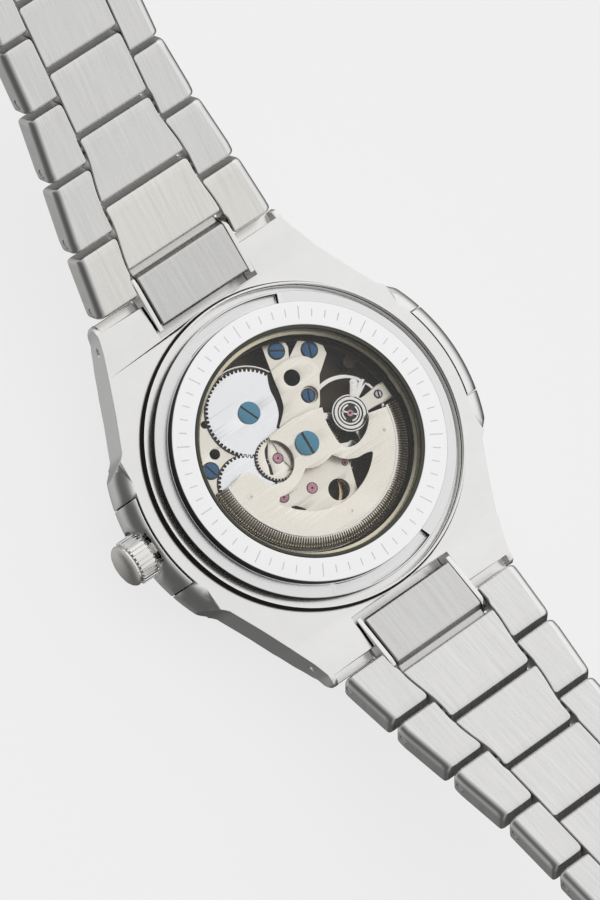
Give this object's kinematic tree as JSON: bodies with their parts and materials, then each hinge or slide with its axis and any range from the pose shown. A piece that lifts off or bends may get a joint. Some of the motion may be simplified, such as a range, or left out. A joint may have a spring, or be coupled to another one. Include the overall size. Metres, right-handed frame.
{
  "type": "self-winding wristwatch",
  "caption": "Self-winding wristwatch lying face down, with a skeleton rotor under a display back and a tapering three-row link bracelet opened at its folding clasp.",
  "frame": {"origin": "centre of the outer face of the front crystal, on which the watch lies", "axes": "+Z leaves the display back, +Y points to twelve o'clock along the bracelet, and the crown is on the -X side"},
  "size_m": [0.0478, 0.166, 0.0527],
  "materials": {
    "brushed_steel": "lengthwise satin brushing",
    "polished_steel": "mirror polished stainless steel",
    "sapphire": "clear polished crystal",
    "gasket": "satin dark olive gasket",
    "dial": "satin dark lacquer",
    "nickel_plate": "nickel plated, fine grained",
    "gilt_brass": "gilt, circular grained",
    "spring_steel": "bright hardened steel",
    "blued_steel": "heat blued, polished",
    "teal_steel": "heat blued to teal, polished",
    "ruby": "polished pink synthetic jewel",
    "red_lacquer": "gloss red lacquer"
  },
  "bodies": {
    "case": {"case_middle": "brushed_steel", "bezel": "polished_steel", "front_crystal": "sapphire", "chapter_ring": "dial", "dial_plate": "dial", "movement_ring": "nickel_plate", "caseback_ring": "polished_steel", "window_crystal": "sapphire", "window_gasket": "gasket", "flank_guards": "polished_steel", "crown_tube": "polished_steel", "end_links": "brushed_steel", "end_plates": "polished_steel", "lug_pins": "spring_steel", "main_plate": "nickel_plate", "barrel_bridge": "nickel_plate", "train_bridge": "nickel_plate", "pallet_bridge": "nickel_plate", "balance_cock": "nickel_plate", "regulator": "spring_steel", "jewels": "ruby", "bridge_screws": "blued_steel"},
    "rotor": {"rotor_weight": "nickel_plate", "rotor_screw": "teal_steel"},
    "barrel_drum": {"barrel": "gilt_brass", "mainspring": "spring_steel"},
    "ratchet": {"ratchet_wheel": "spring_steel"},
    "crown_gear": {"crown_wheel": "spring_steel"},
    "winding_gear": {"winding_wheel": "nickel_plate"},
    "centre_arbor": {"centre_wheel": "gilt_brass", "minute_hand": "polished_steel"},
    "third_arbor": {"third_wheel": "gilt_brass"},
    "seconds_arbor": {"seconds_wheel": "gilt_brass", "seconds_hand": "red_lacquer"},
    "hour_pipe": {"hour_hand": "polished_steel"},
    "minute_gear": {"minute_wheel": "gilt_brass"},
    "escape_arbor": {"escape_wheel": "spring_steel"},
    "pallets": {"pallet_fork": "spring_steel"},
    "balance": {"balance_wheel": "gilt_brass", "hairspring": "blued_steel"},
    "setting_slide": {"setting_lever": "nickel_plate"},
    "crown_stem": {"crown": "polished_steel", "stem": "spring_steel"},
    "upper_row_1": {"upper_links_1": "brushed_steel"},
    "upper_row_2": {"upper_links_2": "brushed_steel"},
    "upper_row_3": {"upper_links_3": "brushed_steel"},
    "upper_row_4": {"upper_links_4": "brushed_steel"},
    "upper_row_5": {"upper_links_5": "brushed_steel"},
    "upper_row_6": {"upper_links_6": "brushed_steel"},
    "lower_row_1": {"lower_links_1": "brushed_steel"},
    "lower_row_2": {"lower_links_2": "brushed_steel"},
    "lower_row_3": {"lower_links_3": "brushed_steel"},
    "lower_row_4": {"lower_links_4": "brushed_steel"},
    "lower_row_5": {"lower_links_5": "brushed_steel"},
    "clasp_shell": {"clasp_cover": "brushed_steel"},
    "long_blade": {"clasp_blade_long": "polished_steel"},
    "short_blade": {"clasp_blade_short": "polished_steel"},
    "left_button": {"push_button_left": "polished_steel"},
    "right_button": {"push_button_right": "polished_steel"}
  },
  "joints": [
    {"name": "rotor_swing", "type": "hinge", "parent": "case", "child": "rotor", "pos_m": [0, 0, 0.0104], "axis": [0, 0, 1], "continuous": true},
    {"name": "seconds_turn", "type": "hinge", "parent": "case", "child": "seconds_arbor", "pos_m": [0, 0, 0.008], "axis": [0, 0, 1], "continuous": true},
    {"name": "minutes_turn", "type": "hinge", "parent": "case", "child": "centre_arbor", "pos_m": [0, 0, 0.0058], "axis": [0, 0, 1], "continuous": true},
    {"name": "hours_turn", "type": "hinge", "parent": "case", "child": "hour_pipe", "pos_m": [0, 0, 0.0042], "axis": [0, 0, 1], "continuous": true},
    {"name": "minute_wheel_turn", "type": "hinge", "parent": "case", "child": "minute_gear", "pos_m": [0, -0.003, 0.0044], "axis": [0, 0, 1], "continuous": true},
    {"name": "third_turn", "type": "hinge", "parent": "case", "child": "third_arbor", "pos_m": [-0.002, -0.0045, 0.007], "axis": [0, 0, 1], "continuous": true},
    {"name": "barrel_turn", "type": "hinge", "parent": "case", "child": "barrel_drum", "pos_m": [-0.0032, 0.0065, 0.0068], "axis": [0, 0, 1], "continuous": true},
    {"name": "escape_turn", "type": "hinge", "parent": "case", "child": "escape_arbor", "pos_m": [0.0029, -0.0042, 0.007], "axis": [0, 0, 1], "continuous": true},
    {"name": "pallet_rock", "type": "hinge", "parent": "case", "child": "pallets", "pos_m": [0.0031, -0.002, 0.0066], "axis": [0, 0, 1], "range_deg": [-3, 3]},
    {"name": "balance_swing", "type": "hinge", "parent": "case", "child": "balance", "pos_m": [0.0067, 0.0001, 0.0081], "axis": [0, 0, 1], "range_deg": [-270, 270], "stiffness_Nm_per_rad": 0.00000095},
    {"name": "crown_pull", "type": "slide", "parent": "case", "child": "setting_slide", "axis": [-1, 0, 0], "range_m": [0, 0.0012]},
    {"name": "crown_turn", "type": "hinge", "parent": "setting_slide", "child": "crown_stem", "pos_m": [-0.022, 0, 0.0064], "axis": [-1, 0, 0], "continuous": true},
    {"name": "crown_wheel_turn", "type": "hinge", "parent": "case", "child": "crown_gear", "pos_m": [-0.0081, 0, 0.009], "axis": [0, 0, 1], "continuous": true},
    {"name": "ratchet_turn", "type": "hinge", "parent": "case", "child": "ratchet", "pos_m": [-0.0032, 0.0065, 0.009], "axis": [0, 0, 1], "continuous": true},
    {"name": "winding_wheel_turn", "type": "hinge", "parent": "case", "child": "winding_gear", "pos_m": [-0.00352, 0.00044, 0.0093], "axis": [0, 0, 1], "continuous": true},
    {"name": "upper_row_1_bend", "type": "hinge", "parent": "case", "child": "upper_row_1", "pos_m": [0, 0.0256, 0.01008], "axis": [1, 0, 0], "range_deg": [0, 20]},
    {"name": "upper_row_2_bend", "type": "hinge", "parent": "upper_row_1", "child": "upper_row_2", "pos_m": [0, 0.03341, 0.01356], "axis": [1, 0, 0], "range_deg": [0, 20]},
    {"name": "upper_row_3_bend", "type": "hinge", "parent": "upper_row_2", "child": "upper_row_3", "pos_m": [0, 0.04113, 0.01724], "axis": [1, 0, 0], "range_deg": [0, 20]},
    {"name": "upper_row_4_bend", "type": "hinge", "parent": "upper_row_3", "child": "upper_row_4", "pos_m": [0, 0.04863, 0.02134], "axis": [1, 0, 0], "range_deg": [0, 20]},
    {"name": "upper_row_5_bend", "type": "hinge", "parent": "upper_row_4", "child": "upper_row_5", "pos_m": [0, 0.05608, 0.02553], "axis": [1, 0, 0], "range_deg": [0, 20]},
    {"name": "upper_row_6_bend", "type": "hinge", "parent": "upper_row_5", "child": "upper_row_6", "pos_m": [0, 0.06341, 0.02993], "axis": [1, 0, 0], "range_deg": [0, 20]},
    {"name": "lower_row_1_bend", "type": "hinge", "parent": "case", "child": "lower_row_1", "pos_m": [0, -0.0256, 0.01008], "axis": [-1, 0, 0], "range_deg": [0, 20]},
    {"name": "lower_row_2_bend", "type": "hinge", "parent": "lower_row_1", "child": "lower_row_2", "pos_m": [0, -0.03341, 0.01356], "axis": [-1, 0, 0], "range_deg": [0, 20]},
    {"name": "lower_row_3_bend", "type": "hinge", "parent": "lower_row_2", "child": "lower_row_3", "pos_m": [0, -0.04113, 0.01724], "axis": [-1, 0, 0], "range_deg": [0, 20]},
    {"name": "lower_row_4_bend", "type": "hinge", "parent": "lower_row_3", "child": "lower_row_4", "pos_m": [0, -0.04863, 0.02134], "axis": [-1, 0, 0], "range_deg": [0, 20]},
    {"name": "lower_row_5_bend", "type": "hinge", "parent": "lower_row_4", "child": "lower_row_5", "pos_m": [0, -0.05608, 0.02553], "axis": [-1, 0, 0], "range_deg": [0, 20]},
    {"name": "clasp_bend", "type": "hinge", "parent": "lower_row_5", "child": "clasp_shell", "pos_m": [0, -0.06341, 0.02993], "axis": [-1, 0, 0], "range_deg": [0, 20]},
    {"name": "long_blade_fold", "type": "hinge", "parent": "clasp_shell", "child": "long_blade", "pos_m": [0, -0.09044, 0.04886], "axis": [1, 0, 0], "range_deg": [0, 140]},
    {"name": "short_blade_fold", "type": "hinge", "parent": "long_blade", "child": "short_blade", "pos_m": [0, -0.06751, 0.0328], "axis": [-1, 0, 0], "range_deg": [0, 115]},
    {"name": "left_button_press", "type": "slide", "parent": "clasp_shell", "child": "left_button", "axis": [1, 0, 0], "range_m": [0, 0.0006], "stiffness_N_per_m": 400},
    {"name": "right_button_press", "type": "slide", "parent": "clasp_shell", "child": "right_button", "axis": [-1, 0, 0], "range_m": [0, 0.0006], "stiffness_N_per_m": 400}
  ],
  "couplings": [
    {"joint": "minutes_turn", "follows": "seconds_turn", "ratio": 0.016667},
    {"joint": "hours_turn", "follows": "seconds_turn", "ratio": 0.0013889},
    {"joint": "minute_wheel_turn", "follows": "seconds_turn", "ratio": -0.0055556},
    {"joint": "third_turn", "follows": "seconds_turn", "ratio": -0.13333},
    {"joint": "barrel_turn", "follows": "seconds_turn", "ratio": -0.0060185},
    {"joint": "escape_turn", "follows": "seconds_turn", "ratio": -8.3333},
    {"joint": "crown_wheel_turn", "follows": "crown_turn", "ratio": 0.5},
    {"joint": "ratchet_turn", "follows": "crown_turn", "ratio": -0.32258},
    {"joint": "winding_wheel_turn", "follows": "crown_turn", "ratio": 1.4286}
  ]
}
